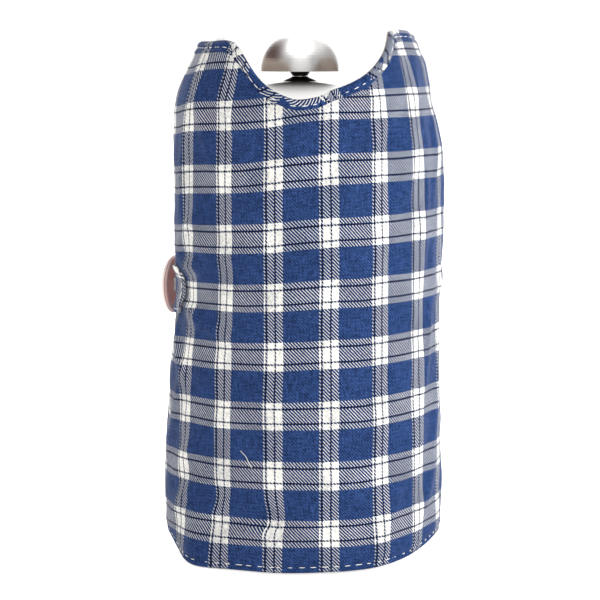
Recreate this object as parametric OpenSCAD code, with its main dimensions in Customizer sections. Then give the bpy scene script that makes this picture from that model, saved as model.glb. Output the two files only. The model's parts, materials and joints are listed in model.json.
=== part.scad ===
// Coffee press with a buttoned cloth cover.
// +Z is up, the origin is on the plunger rod's axis where the press stands,
// -Y is the pouring side, +Y the handle side.

/* [Beaker] */
// Outside radius of the glass beaker
glass_r = 46.5; // [45.5:0.5:46.5]
// Wall thickness of the glass
glass_wall = 2.2; // [1.8:0.1:2.6]
// Height of the beaker's rim above the table
rim_z = 176.8; // [170:0.2:178]

/* [Lid] */
// Radius of the sphere that the lid's dome is cut from
dome_sphere_r = 74; // [73:0.5:76]
// Height of the dome above its edge
dome_rise = 17.1; // [16.8:0.1:17.4]

/* [Plunger] */
// Radius of the plunger rod
rod_r = 2.5; // [2:0.25:3]
// Radius of the knob's steel dome
knob_r = 16.15; // [14:0.25:18]
// Height of the straight skirt below the knob's dome
knob_skirt = 1.7; // [1:0.1:3]

/* [Handle] */
// Diameter of the handle's bar
handle_d = 13; // [11:0.5:14]
// Distance from the rod's axis to the middle of the grip
handle_reach = 85; // [82:1:92]

/* [Cover] */
// Outside radius of the cover at its hem
cover_hem_r = 57.4; // [57:0.1:58]
// Outside radius of the cover at the lid's edge
cover_neck_r = 55.4; // [55.2:0.1:56.4]
// How far the cover sits off the rod's axis, towards +X
cover_shift = 2.2; // [0:0.1:2.4]
// Height of the hem above the table
hem_z = 2; // [1:0.5:4]
// Height of the lowest point of the front neckline
neckline_z = 189; // [186:0.5:191]
// Angle left open at the back for the handle
slot_angle = 50; // [44:1:56]

/* [Button] */
// Diameter of the button
button_d = 25; // [20:0.5:27]
// Height of the button and the strap above the table
button_z = 109; // [100:1:116]
// Direction of the button round the cover, from +X
button_dir = 160; // [155:1:165]

/* [Hidden] */
$fn = 96;
hair = 0.1;             // gap between layers of one body
play = 0.3;             // gap between pieces that move apart

steel = [0.80, 0.80, 0.79];
black_plastic = [0.07, 0.06, 0.06];
plaid_blue = [0.16, 0.25, 0.47];

// Base and frame
pad_h = 1.6;
sheet = 1;                              // thickness of the frame's steel
frame_in = glass_r + 0.8;
frame_out = frame_in + sheet;
base_h = 24;                            // top of the base cup's wall
bead_r = 0.9;
band_z0 = 142;
band_z1 = 156;
upright_w = 11;
ear_in = 4;                             // half the gap between the clamp ears
ear_t = 1.2;
ear_y = 62;
bolt_y = 56.5;
bolt_z = (band_z0 + band_z1) / 2;
bolt_r = 2.5;

// Handle
bar_r = handle_d / 2;
bend_r = 15;                            // centreline radius of the handle's two bends
arm_low_z = 52;
stud_r = 3;
stud_len = 16;
collar_len = 3;
pin_r = 1.25;
pin_y = frame_out + collar_len + 8;

// Beaker
glass_z0 = pad_h + sheet + play;
glass_floor = 3;
glass_in = glass_r - glass_wall;
corner_r = 6;
spout_r = 8;
spout_h = 24;
spout_y = 44;

// Lid
dome_t = 0.7;
dome_top = rim_z + 1.6 + dome_rise;     // top of the dome on the axis
dome_c = dome_top - dome_sphere_r;      // centre of the dome's sphere
dome_edge_r = glass_r + 0.8;
edge_bead_r = 0.6;
cup_r = glass_in - 0.6;
cup_t = 0.8;
cup_z0 = rim_z - 23.5;
slot_count = 9;
bushing_r = 6.9;
stem_r = 3.5;
rod_fit = 0.06;                         // radial running clearance round the rod

// Plunger and its filter, from the bottom up
filter_z = 10;
plate_t = 0.8;
plate_r = glass_in - 3.8;
mesh_r = glass_in - 0.8;
mesh_t = 0.4;
coil_r = 1.15;
spiral_r = glass_in - play - 2 * coil_r;
spiral_z = filter_z + plate_t + mesh_t + 2 * hair + coil_r;

// Knob
knob_z = dome_top + 4.2;                // lower edge of the knob's skirt
knob_t = 0.7;
knob_c = knob_z + knob_skirt;
core_z0 = knob_z - 1.9;                 // lower end of the core's cone
post_r = 7;
insert_r = 4;
rod_top = knob_z + 10.3;

// Cover: layers from the outside in
outer_t = 0.7;
wadding_t = 1.5;
lining_t = 0.6;
cover_t = outer_t + wadding_t + lining_t + 2 * hair;
shoulder_top = 215.5;
shoulder_top_r = 46.5;                  // outside radius at the top of the shoulders
strap_w = 20;
strap_t = 1.3;
strap_r = 56.5;
strap_from = 38;                        // direction of the strap's sewn end
strap_to = 173;                         // direction of its free end
buttonhole = 26;                        // degrees that the buttonhole spans
shank_r = 1.6;
button_in = 58.2;                       // distance from the cover's axis to the button's back
button_t = 2.4;
rim_round = button_t / 2;

function cover_r(z) = cover_hem_r + (cover_neck_r - cover_hem_r) * (z - hem_z) / (neckline_z - hem_z);

// Points of an arc about c, from angle a0 to a1
function arc(c, r, a0, a1, n = 8) =
    [for (i = [0:n]) c + r * [cos(a0 + (a1 - a0) * i / n), sin(a0 + (a1 - a0) * i / n)]];

module ring(r_in, r_out, z0, z1) {
    difference() {
        translate([0, 0, z0]) cylinder(r = r_out, h = z1 - z0);
        translate([0, 0, z0 - 1]) cylinder(r = r_in, h = z1 - z0 + 2);
    }
}

// A cylinder along +X from the given point
module along_x(r, h) {
    rotate([0, 90, 0]) cylinder(r = r, h = h);
}

// A cylinder along +Y from the given point
module along_y(r, h) {
    rotate([-90, 0, 0]) cylinder(r = r, h = h);
}

module base_pad() {
    color([0.1, 0.1, 0.1]) cylinder(r = 40, h = pad_h);
}

module frame_base() {
    color(steel) {
        ring(22, frame_out, pad_h, pad_h + sheet);
        ring(frame_in, frame_out, pad_h, base_h);
        translate([0, 0, base_h]) rotate_extrude()
            translate([frame_in + sheet / 2, 0]) circle(r = bead_r, $fn = 24);
    }
}

module frame_uprights() {
    color(steel) for (a = [90, 210, 330]) intersection() {
        ring(frame_in, frame_out, base_h + bead_r, band_z0);
        rotate([0, 0, a]) translate([frame_in - 4, -upright_w / 2, 0])
            cube([8, upright_w, band_z1]);
    }
}

// Split clamp band with two ears that the handle is bolted between
module frame_band() {
    color(steel) difference() {
        union() {
            ring(frame_in, frame_out, band_z0, band_z1);
            for (side = [-1, 1])
                translate([side > 0 ? ear_in : -ear_in - ear_t, frame_in - 0.2, band_z0])
                    cube([ear_t, ear_y - frame_in, band_z1 - band_z0]);
        }
        translate([-ear_in, frame_in - 4, band_z0 - 1]) cube([2 * ear_in, 20, band_z1]);
        translate([-10, bolt_y, bolt_z]) along_x(bolt_r + 0.15, 20);
    }
}

// Stud on the rear upright that the handle's lower end is pinned to
module frame_stud() {
    color(steel) difference() {
        translate([0, frame_out, arm_low_z]) {
            along_y(5, collar_len);
            along_y(stud_r, stud_len);
        }
        translate([-10, pin_y, arm_low_z]) along_x(pin_r + 0.05, 20);
    }
}

module handle_bend(z, turn) {
    translate([0, handle_reach - bend_r, z]) rotate([0, 90, 0]) rotate([0, 0, turn])
        rotate_extrude(angle = 90) translate([bend_r, 0]) circle(r = bar_r, $fn = 48);
}

module handle() {
    arm_high_z = bolt_z;
    low_start = frame_out + collar_len + hair;
    arm_end = handle_reach - bend_r;
    color(black_plastic) difference() {
        union() {
            translate([-ear_in + hair, frame_out + 0.8, band_z0 + 0.5])
                cube([2 * (ear_in - hair), 16, band_z1 - band_z0 - 1]);
            translate([0, ear_y + 1, arm_high_z]) along_y(bar_r, arm_end - ear_y - 1);
            translate([0, low_start, arm_low_z]) along_y(bar_r, arm_end - low_start);
            handle_bend(arm_high_z - bend_r, 90);
            handle_bend(arm_low_z + bend_r, 0);
            translate([0, handle_reach, arm_low_z + bend_r])
                cylinder(r = bar_r, h = arm_high_z - arm_low_z - 2 * bend_r);
        }
        translate([-10, bolt_y, bolt_z]) along_x(bolt_r + 0.15, 20);
        translate([0, low_start - 1, arm_low_z]) along_y(stud_r + 0.05, stud_len - collar_len + 1.4);
        translate([-10, pin_y, arm_low_z]) along_x(pin_r + 0.05, 20);
    }
}

module clamp_bolt() {
    color(steel) translate([-ear_in - ear_t, bolt_y, bolt_z]) {
        along_x(bolt_r, 2 * (ear_in + ear_t) + 4);
        translate([-4, 0, 0]) along_x(5, 4);
    }
}

module clamp_nut() {
    color(steel) translate([ear_in + ear_t, bolt_y, bolt_z]) difference() {
        union() {
            along_x(5, 4);
            translate([4, 0, 0]) sphere(r = 3.6, $fn = 48);
        }
        translate([-1, 0, 0]) along_x(bolt_r + 0.05, 5.2);
    }
}

module handle_pin() {
    color(steel) translate([-bar_r - 0.4, pin_y, arm_low_z]) along_x(pin_r, 2 * bar_r + 0.8);
}

module glass_beaker() {
    outside = concat(
        [[0, glass_z0]],
        arc([glass_r - corner_r, glass_z0 + corner_r], corner_r, -90, 0),
        [[glass_r, rim_z], [glass_in, rim_z]],
        arc([glass_in - 4, glass_z0 + glass_floor + 4], 4, 0, -90),
        [[0, glass_z0 + glass_floor]]);
    color([0.85, 0.92, 0.95, 0.35]) difference() {
        union() {
            rotate_extrude() polygon(outside);
            difference() {
                translate([0, -spout_y, rim_z - spout_h]) cylinder(r1 = 0.5, r2 = spout_r, h = spout_h);
                translate([0, 0, rim_z - spout_h - 1]) cylinder(r = glass_in + 0.5, h = spout_h + 2);
            }
        }
        translate([0, -spout_y, rim_z - spout_h + 3])
            cylinder(r1 = 0.2, r2 = spout_r - 1.8, h = spout_h - 2.99);
    }
}

// The black flange that guides the rod through the lid
module lid_bushing() {
    cap = [
        [rod_r + rod_fit, dome_top + 2.1], [rod_r + 0.7, dome_top + 2.1],
        [rod_r + 1.5, dome_top + 1.5], [bushing_r - 1.3, dome_top + 0.9],
        [bushing_r, dome_top + 0.2], [bushing_r, dome_top],
        [stem_r, dome_top + 0.22], [stem_r, dome_top - 5],
        [rod_r + rod_fit, dome_top - 5]];
    color(black_plastic) rotate_extrude() polygon(cap);
}

module bushing_nut() {
    color(black_plastic) ring(stem_r + 0.05, 6.5, dome_top - 4.3, dome_top - 1.3);
}

module lid_dome() {
    half = asin(dome_edge_r / dome_sphere_r);
    inner_r = dome_sphere_r - dome_t;
    hole = stem_r + play;
    cap = concat(
        arc([0, dome_c], dome_sphere_r, 90 - half, 90 - asin(hole / dome_sphere_r), 16),
        arc([0, dome_c], inner_r, 90 - asin(hole / inner_r), 90 - half, 16));
    color(steel) {
        rotate_extrude() polygon(cap);
        translate([0, 0, dome_c + dome_sphere_r * cos(half) - 0.2]) rotate_extrude()
            translate([dome_edge_r - 0.4, 0]) circle(r = edge_bead_r, $fn = 24);
    }
}

// Inner cup that centres the lid, with a strainer of slots on one side
module lid_cup() {
    flange_z = rim_z + play;
    color(steel) difference() {
        union() {
            ring(cup_r - cup_t, cup_r, cup_z0, rim_z + 2);
            ring(cup_r - cup_t, glass_r - 0.4, flange_z, flange_z + 0.4);
            ring(rod_r + 1.2, cup_r - cup_t / 2, cup_z0, cup_z0 + cup_t);
        }
        for (i = [0:slot_count - 1])
            rotate([0, 0, 270 + (i - (slot_count - 1) / 2) * 6])
                translate([cup_r - 4, -1, rim_z - 14]) cube([6, 2, 10]);
        for (i = [0:11])
            rotate([0, 0, i * 30]) translate([cup_r - 14, 0, cup_z0 - 1]) cylinder(r = 2.5, h = 3, $fn = 24);
    }
}

module plunger_rod() {
    color(steel) translate([0, 0, filter_z - 2.4]) cylinder(r = rod_r, h = rod_top - filter_z + 2.4);
}

module rod_collar() {
    z = spiral_z + plate_t + hair;
    color(steel) ring(rod_r + 0.02, 5.5, z, z + 3);
}

// Top plate of the filter, with curved slots that let it flex
module spiral_plate() {
    color(steel) difference() {
        ring(rod_r + 0.02, spiral_r, spiral_z, spiral_z + plate_t);
        for (i = [0:5], r = [16, 24, 32])
            rotate([0, 0, i * 60 + r * 3]) translate([0, 0, spiral_z - 1])
                rotate_extrude(angle = 38) translate([r, 0]) square([3.2, 4]);
    }
}

module coil_spring() {
    color(steel) translate([0, 0, spiral_z + plate_t / 2]) rotate_extrude()
        translate([spiral_r + coil_r + 0.02, 0]) circle(r = coil_r, $fn = 24);
}

module mesh_screen() {
    color([0.6, 0.6, 0.6]) ring(rod_r + 0.02, mesh_r, filter_z + plate_t + hair, filter_z + plate_t + hair + mesh_t);
}

// Bottom plate of the filter, pierced in two rings
module cross_plate() {
    color(steel) difference() {
        ring(rod_r + 0.02, plate_r, filter_z, filter_z + plate_t);
        for (i = [0:7]) rotate([0, 0, i * 45]) translate([17, 0, filter_z - 1]) cylinder(r = 4.5, h = 3, $fn = 32);
        for (i = [0:15]) rotate([0, 0, i * 22.5]) translate([32, 0, filter_z - 1]) cylinder(r = 4.5, h = 3, $fn = 32);
    }
}

module filter_nut() {
    color(steel) translate([0, 0, filter_z - 2.4 - hair]) difference() {
        cylinder(r = 6, h = 2.4, $fn = 6);
        translate([0, 0, -1]) cylinder(r = rod_r + 0.02, h = 5);
    }
}

module knob_dome() {
    r_in = knob_r - knob_t;
    shell = concat(
        [[knob_r, knob_z]], arc([0, knob_c], knob_r, 0, 90, 20),
        arc([0, knob_c], r_in, 90, 0, 20), [[r_in, knob_z]]);
    color(steel) rotate_extrude() polygon(shell);
}

// Moulded core that closes the dome and tapers down to the rod
module knob_core() {
    r_in = knob_r - knob_t - 0.05;
    bore = rod_r + rod_fit;
    shape = [
        [bore, core_z0], [bore + 0.5, core_z0], [4.4, knob_z + 0.25], [r_in, knob_z + 0.25],
        [r_in, knob_z + 1.6], [post_r, knob_z + 3], [post_r, rod_top + 1.5], [0, rod_top + 1.5],
        [0, rod_top + 0.6], [insert_r + 0.03, rod_top + 0.6], [insert_r + 0.03, knob_z + 3.4],
        [bore, knob_z + 3.4]];
    color(black_plastic) rotate_extrude() polygon(shape);
}

module knob_insert() {
    color([0.78, 0.6, 0.3]) ring(rod_r + rod_fit, insert_r, knob_z + 3.5, rod_top + 0.5);
}

// One layer of the cover's body, from depth d0 to depth d1 below its outside
module cover_layer(d0, d1, z1) {
    z0 = hem_z;
    translate([cover_shift, 0, 0]) rotate([0, 0, 90 + slot_angle / 2])
        rotate_extrude(angle = 360 - slot_angle)
            polygon([
                [cover_r(z0) - d0, z0], [cover_r(z1) - d0, z1],
                [cover_r(z1) - d1, z1], [cover_r(z0) - d1, z0]]);
}

module cover_outer() {
    color(plaid_blue) cover_layer(0, outer_t, neckline_z - hair);
}

module cover_wadding() {
    color([0.9, 0.9, 0.88]) cover_layer(outer_t + hair, outer_t + hair + wadding_t, neckline_z - hair);
}

module cover_lining() {
    color([0.85, 0.84, 0.8]) cover_layer(cover_t - lining_t, cover_t, neckline_z - hair);
}

// The two corners of the cover that stand up beside the knob and lean in over the lid
module cover_shoulders() {
    peaks = [
        [-70, 180], [-70, 189], [-56, 193], [-49, 202], [-43, 212], [-27, 212], [-23, 206],
        [-18, 199], [-11, 193], [0, neckline_z], [12, 192.5], [21, 196], [28, 200], [33, 205],
        [36, 210], [38, 215.4], [46, 215.4], [51, 207], [57, 196], [70, 190], [70, 180]];
    color(plaid_blue) intersection() {
        translate([cover_shift, 0, 0]) rotate([0, 0, 90 + slot_angle / 2])
            rotate_extrude(angle = 360 - slot_angle)
                polygon([
                    [cover_neck_r, neckline_z + hair], [shoulder_top_r, shoulder_top],
                    [shoulder_top_r - cover_t, shoulder_top], [cover_neck_r - cover_t, neckline_z + hair]]);
        translate([0, 80, 0]) rotate([90, 0, 0]) linear_extrude(height = 160) polygon(peaks);
    }
}

// A band sewn to the cover's right end, passed through the handle and buttoned on the left
module closure_strap() {
    color(plaid_blue) translate([cover_shift, 0, button_z - strap_w / 2]) difference() {
        rotate([0, 0, strap_from]) rotate_extrude(angle = strap_to - strap_from)
            translate([strap_r, 0]) square([strap_t, strap_w]);
        translate([0, 0, strap_w / 2 - shank_r - 0.6]) rotate([0, 0, button_dir + 3 - buttonhole])
            rotate_extrude(angle = buttonhole)
                translate([strap_r - 2, 0]) square([strap_t + 4, 2 * shank_r + 1.2]);
    }
}

module hem_thread() {
    z = hem_z + 2.5;
    color([0.9, 0.9, 0.88]) translate([cover_shift, 0, z]) rotate([0, 0, 90 + slot_angle / 2 + 2])
        rotate_extrude(angle = 356 - slot_angle)
            translate([cover_r(z) + 0.4, 0]) circle(r = 0.35, $fn = 16);
}

// Puts its children on the button's axis, with +Z pointing away from the cover
module at_button() {
    translate([cover_shift, 0, button_z]) rotate([0, 0, button_dir]) rotate([0, 90, 0]) children();
}

module button_holes(r) {
    for (x = [-2, 2], y = [-2, 2]) translate([x, y, button_in - 1]) cylinder(r = r, h = button_t + 2, $fn = 24);
}

module button() {
    r = button_d / 2;
    body = concat(
        [[0, 0.35], [r - 3.2, 0.35], [r - 2.6, 0]],
        arc([r - rim_round, rim_round], rim_round, -90, 90),
        [[r - 2.6, 2.2], [r - 4, 1.8], [0, 1.8]]);
    color([0.43, 0.33, 0.3]) at_button() difference() {
        translate([0, 0, button_in]) rotate_extrude() polygon(body);
        button_holes(1.1);
    }
}

module button_thread() {
    color([0.85, 0.84, 0.8]) at_button() {
        translate([0, 0, strap_r - 0.1]) cylinder(r = shank_r, h = button_in - strap_r);
        for (x = [-2, 2]) {
            for (y = [-2, 2]) translate([x, y, button_in - 0.2]) cylinder(r = 0.7, h = 2.4, $fn = 24);
            translate([x - 0.5, -2.5, button_in + 1.85]) cube([1, 5, 0.6]);
        }
        translate([-2.6, -2.6, button_in - 0.3]) cube([5.2, 5.2, 0.6]);
    }
}

base_pad();
frame_base();
frame_uprights();
frame_band();
frame_stud();
handle();
clamp_bolt();
clamp_nut();
handle_pin();
glass_beaker();
lid_bushing();
bushing_nut();
lid_dome();
lid_cup();
plunger_rod();
rod_collar();
spiral_plate();
coil_spring();
mesh_screen();
cross_plate();
filter_nut();
knob_dome();
knob_core();
knob_insert();
cover_outer();
cover_wadding();
cover_lining();
cover_shoulders();
closure_strap();
hem_thread();
button();
button_thread();
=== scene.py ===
"""Looks of a coffee press in a padded plaid cover: cloth, steel, glass, plastic, light and camera."""
import json
import math
import random

import bpy
import numpy as np
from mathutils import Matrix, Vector, noise


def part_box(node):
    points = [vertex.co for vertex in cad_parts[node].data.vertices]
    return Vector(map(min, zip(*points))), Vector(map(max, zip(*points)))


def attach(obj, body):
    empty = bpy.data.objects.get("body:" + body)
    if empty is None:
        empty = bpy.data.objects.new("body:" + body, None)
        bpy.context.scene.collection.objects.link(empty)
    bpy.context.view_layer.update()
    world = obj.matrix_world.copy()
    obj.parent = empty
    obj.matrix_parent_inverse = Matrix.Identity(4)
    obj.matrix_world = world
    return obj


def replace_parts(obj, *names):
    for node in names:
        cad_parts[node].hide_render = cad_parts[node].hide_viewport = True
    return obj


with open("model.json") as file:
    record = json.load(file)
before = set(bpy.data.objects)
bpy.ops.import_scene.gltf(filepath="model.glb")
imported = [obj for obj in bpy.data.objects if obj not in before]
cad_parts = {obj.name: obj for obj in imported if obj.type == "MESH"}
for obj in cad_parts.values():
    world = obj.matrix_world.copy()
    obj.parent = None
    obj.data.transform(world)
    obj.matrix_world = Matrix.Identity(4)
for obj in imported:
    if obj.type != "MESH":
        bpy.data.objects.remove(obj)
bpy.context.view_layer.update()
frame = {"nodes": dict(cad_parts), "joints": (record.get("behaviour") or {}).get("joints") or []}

bl_info = {
    "name": "Coffee Press in a Plaid Cover",
    "version": (1, 0, 0),
    "blender": (4, 5, 0),
    "location": "3D View > Sidebar > Coffee Press",
    "description": "Dresses the coffee press: woven cover, strap, stitching, metals, glass and studio",
    "category": "Object",
}

MM = 0.001
PANEL_TAB = "Coffee Press"


# Sizes taken from the frame, in millimetres

def node_box(node):
    """Lowest and highest corners of a CAD node, in millimetres."""
    low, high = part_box(node)
    return np.array(low) / MM, np.array(high) / MM


COVER_LOW, COVER_HIGH = node_box("cover_outer")
AXIS_X = (COVER_LOW[0] + COVER_HIGH[0]) / 2
HEM_R = (COVER_HIGH[0] - COVER_LOW[0]) / 2
HEM_Z = COVER_LOW[2]
NECK_Z = COVER_HIGH[2]
TOP_Z = node_box("cover_shoulders")[1][2]
STRAP_LOW, STRAP_HIGH = node_box("closure_strap")
STRAP_Z = (STRAP_LOW[2] + STRAP_HIGH[2]) / 2
STRAP_W = STRAP_HIGH[2] - STRAP_LOW[2]
BUTTON_WAY = next(joint["axis"] for joint in frame["joints"] if joint["name"] == "button_turn")
BUTTON_BACK = 56.1              # from the rod's axis to the button's back, along the button's own axis


# Settings

class PlaidSettings(bpy.types.PropertyGroup):
    """Colours and repeats of the woven plaid."""

    blue: bpy.props.FloatVectorProperty(
        name="Blue yarn", description="Main colour of the cloth", subtype="COLOR",
        default=(0.0125, 0.0325, 0.106))
    navy: bpy.props.FloatVectorProperty(
        name="Navy yarn", description="Thin dark lines beside the cream ones", subtype="COLOR",
        default=(0.005, 0.006, 0.020))
    cream: bpy.props.FloatVectorProperty(
        name="Cream yarn", description="Light stripes", subtype="COLOR", default=(0.665, 0.655, 0.61))
    warp_repeat: bpy.props.FloatProperty(
        name="Warp repeat", description="Distance between upright stripes, in mm", default=23.7,
        min=10, max=40)
    weft_repeat: bpy.props.FloatProperty(
        name="Weft repeat", description="Distance between level stripes, in mm", default=24.0, min=10, max=40)
    rib: bpy.props.FloatProperty(
        name="Twill rib", description="Distance between the twill's diagonal ribs, in mm", default=1.42,
        min=0.4, max=2)


class CoverSettings(bpy.types.PropertyGroup):
    """Sizes of the padded cover and its sewing."""

    thickness: bpy.props.FloatProperty(
        name="Thickness", description="Whole thickness of the padded cover, in mm", default=2.9, min=1, max=4)
    cloth: bpy.props.FloatProperty(
        name="Cloth", description="Thickness of the outer cloth, in mm", default=0.7, min=0.3, max=1)
    stitch: bpy.props.FloatProperty(
        name="Stitch", description="Length of one topstitch, in mm", default=3.3, min=1, max=5)
    stitch_gap: bpy.props.FloatProperty(
        name="Stitch gap", description="Gap between topstitches, in mm", default=1.2, min=0.3, max=3)
    seam_inset: bpy.props.FloatProperty(
        name="Seam inset", description="Distance of the topstitching from the edge, in mm", default=2.7,
        min=1, max=6)


class StudioSettings(bpy.types.PropertyGroup):
    """Camera and light."""

    distance: bpy.props.FloatProperty(
        name="Camera distance", description="From the press's axis, in metres", unit="LENGTH", default=0.921)
    eye_height: bpy.props.FloatProperty(
        name="Eye height", description="Height of the camera above the table", unit="LENGTH", default=0.2084)
    tilt: bpy.props.FloatProperty(
        name="Tilt", description="How far the camera looks down", subtype="ANGLE", default=math.radians(6.45))
    lens: bpy.props.FloatProperty(name="Lens", description="Focal length in mm", default=132.6)
    white: bpy.props.FloatProperty(
        name="White level", description="Strength of the surrounding white light", default=1.0, min=0)


SETTINGS = {"press_plaid": PlaidSettings, "press_cover": CoverSettings, "press_studio": StudioSettings}


# Shader maths

class Socket:
    """An output socket. Arithmetic on it adds Math nodes to its tree."""

    def __init__(self, finish, output):
        self.finish, self.output = finish, output

    def __add__(self, other): return self.finish.maths("ADD", self, other)
    def __radd__(self, other): return self.finish.maths("ADD", other, self)
    def __sub__(self, other): return self.finish.maths("SUBTRACT", self, other)
    def __rsub__(self, other): return self.finish.maths("SUBTRACT", other, self)
    def __mul__(self, other): return self.finish.maths("MULTIPLY", self, other)
    def __rmul__(self, other): return self.finish.maths("MULTIPLY", other, self)
    def __truediv__(self, other): return self.finish.maths("DIVIDE", self, other)
    def __rtruediv__(self, other): return self.finish.maths("DIVIDE", other, self)
    def __mod__(self, other): return self.finish.maths("FLOORED_MODULO", self, other)
    def __lt__(self, other): return self.finish.maths("LESS_THAN", self, other)
    def __gt__(self, other): return self.finish.maths("GREATER_THAN", self, other)


class Tree:
    """A node tree being made."""

    def __init__(self, owner):
        owner.use_nodes = True
        self.tree = owner.node_tree

    def node(self, kind, settings=None, inputs=None, output=0):
        """Adds a node of that type, sets its settings first and its inputs next, and gives one output."""
        made = self.tree.nodes.new("ShaderNode" + kind)
        for key, value in (settings or {}).items():
            if key == "stops":
                self.set_stops(made.color_ramp, value)
            else:
                setattr(made, key, value)
        for key, value in (inputs or {}).items():
            self.feed(made.inputs[key], value)
        return Socket(self, made.outputs[output])

    def feed(self, socket, value):
        if isinstance(value, Socket):
            self.tree.links.new(value.output, socket)
        else:
            socket.default_value = value

    @staticmethod
    def set_stops(ramp, stops):
        while len(ramp.elements) < len(stops):
            ramp.elements.new(0.5)
        for element, (place, colour) in zip(ramp.elements, stops):
            element.position = place
            element.color = (*colour, 1) if hasattr(colour, "__len__") else (colour, colour, colour, 1)

    def maths(self, operation, *values):
        return self.node("Math", {"operation": operation}, dict(enumerate(values)))

    def clamp(self, value):
        return self.node("Clamp", None, {0: value})

    def mix(self, factor, a, b):
        """Colour a where factor is 0, b where it is 1."""
        a, b = ((*c, 1) if not isinstance(c, Socket) else c for c in (a, b))
        return self.node("Mix", {"data_type": "RGBA"}, {0: factor, 6: a, 7: b}, output=2)

    def split(self, vector):
        return [self.node("SeparateXYZ", None, {0: vector}, output=i) for i in range(3)]

    def join(self, x, y, z):
        return self.node("CombineXYZ", None, {0: x, 1: y, 2: z})

    def noise(self, vector, scale, detail=3.0, roughness=0.55):
        """Smooth noise from 0 to 1, with features about 1 / scale long."""
        return self.node("TexNoise", None,
                         {"Vector": vector, "Scale": scale, "Detail": detail, "Roughness": roughness})

    def streaks(self, x, y, z, detail=2, roughness=0.5):
        """Noise that is drawn out, because each axis has a scale of its own."""
        return self.noise(self.join(x, y, z), 1, detail, roughness)

    def towards(self, direction, aim, spread):
        """1 where a direction points to aim, falling to 0 at spread degrees from it."""
        aim = tuple(Vector(aim).normalized())
        along = self.node("VectorMath", {"operation": "DOT_PRODUCT"}, {0: direction, 1: aim}, output="Value")
        edge = math.cos(math.radians(spread))
        near = self.clamp((along - edge) / (1 - edge))
        return near * near * (3 - 2 * near)


class Finish(Tree):
    """One material being made. Constants go on the surface shader's own sockets."""

    def __init__(self, name, **constants):
        self.material = bpy.data.materials.new(name)
        super().__init__(self.material)
        self.shader = self.tree.nodes["Principled BSDF"]
        for label, value in constants.items():
            self.shader.inputs[label.replace("_", " ")].default_value = value

    def place(self):
        """Position on the piece, in metres."""
        return self.node("TexCoord", None, None, output="Object")

    def surface(self, **values):
        for label, value in values.items():
            self.feed(self.shader.inputs[label.replace("_", " ")], value)
        return self.material

    def done(self, colour, height, depth, roughness, **others):
        """Sets the colour, a relief whose full depth is in metres, and the roughness."""
        bumped = self.node("Bump", None, {"Height": height, "Distance": depth})
        return self.surface(Base_Color=colour, Normal=bumped, Roughness=roughness, **others)


def scaled(colour, factor):
    return tuple(c * factor for c in colour)


def grey(level):
    return (level,) * 3


def dress(piece, *materials):
    """Gives a piece its materials, by the piece itself or by a CAD node's name."""
    target = frame["nodes"][piece] if isinstance(piece, str) else piece
    while len(target.material_slots) < len(materials):
        target.data.materials.append(None)
    for place, material in zip(target.material_slots, materials):
        place.material = material


# Finishes

POLISHED = (0.66, 0.66, 0.65)
MESH_PITCH = 0.0007             # from wire to wire of the filter's screen, in metres
LINING_PITCH = 0.8              # from yarn to yarn of the lining, in mm
PLY_TURNS = 9000                # twist of the sewing thread, in radians a metre
BUTTON_SHADE_LINE, BUTTON_PALE_HIGHLIGHT = 0.8, 0.9     # mm from the button's back to the painted shade line at the rim's edge and to the pale front, partly painted highlight


def polished_steel(name):
    made = Finish(name, Metallic=1.0)
    vector = made.place()
    smudge = made.noise(vector, 38, 4, 0.6)
    hairline = made.noise(vector, 900, 2, 0.5)
    colour = made.mix(smudge * 0.5, POLISHED, scaled(POLISHED, 0.86))
    return made.done(colour, hairline, 0.000004, 0.07 + smudge * 0.12)


def satin_steel(name):
    made = Finish(name, Metallic=1.0)
    vector = made.place()
    x, y, z = made.split(vector)
    cloud = made.noise(vector, 40, 3, 0.5)
    rings = made.streaks(x * 14, y * 14, z * 1800)
    colour = made.mix(cloud, (0.70, 0.70, 0.69), (0.78, 0.78, 0.77))
    return made.done(colour, rings, 0.000008, 0.60 + cloud * 0.14)


def spun_steel(name):
    """Steel brushed in rings round the upright axis."""
    made = Finish(name, Metallic=1.0, Anisotropic=0.55, Anisotropic_Rotation=0.25)
    x, y, z = made.split(made.place())
    fine = made.streaks(x * 12, y * 12, z * 2600, 2, 0.6)
    broad = made.streaks(x * 30, y * 30, z * 420, 3)
    streak = made.clamp(fine * 0.65 + broad * 0.35)
    colour = made.mix(streak, (0.66, 0.65, 0.64), (0.90, 0.89, 0.88))
    return made.done(colour, streak, 0.000012, 0.2 + streak * 0.12)


def pressed_steel(name):
    made = Finish(name, Metallic=1.0)
    vector = made.place()
    x, y, _ = made.split(vector)
    grain = made.streaks(x * 1500, y * 60, 0, 3, 0.6)
    cloud = made.noise(vector, 45, 3, 0.5)
    colour = made.mix(cloud, (0.55, 0.55, 0.54), (0.72, 0.72, 0.71))
    return made.done(colour, grain, 0.00002, 0.22 + grain * 0.15)


def wire_mesh(name):
    """Fine woven wire: crossing wires by weave maths, dark between them."""
    made = Finish(name, Metallic=1.0)
    vector = made.place()
    x, y, _ = made.split(vector)
    pitch = 2 * math.pi / MESH_PITCH
    along, across = made.maths("SINE", x * pitch), made.maths("SINE", y * pitch)
    wires = made.maths("MAXIMUM", made.maths("ABSOLUTE", along), made.maths("ABSOLUTE", across))
    lift = along * across * 0.5 + 0.5
    tone = made.clamp(wires * (0.6 + made.noise(vector, 60) * 0.6))
    colour = made.mix(tone, (0.08, 0.08, 0.08), POLISHED)
    return made.done(colour, lift * wires, 0.00012, 0.45 - tone * 0.15)


def moulded_black(name, depth=0.00002):
    made = Finish(name, Specular_IOR_Level=0.5)
    vector = made.place()
    grain = made.noise(vector, 1800, 2, 0.5)
    wear = made.noise(vector, 55, 4, 0.6)
    colour = made.mix(wear, (0.008, 0.007, 0.007), (0.020, 0.017, 0.016))
    return made.done(colour, grain, depth, 0.26 + wear * 0.2)


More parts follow.
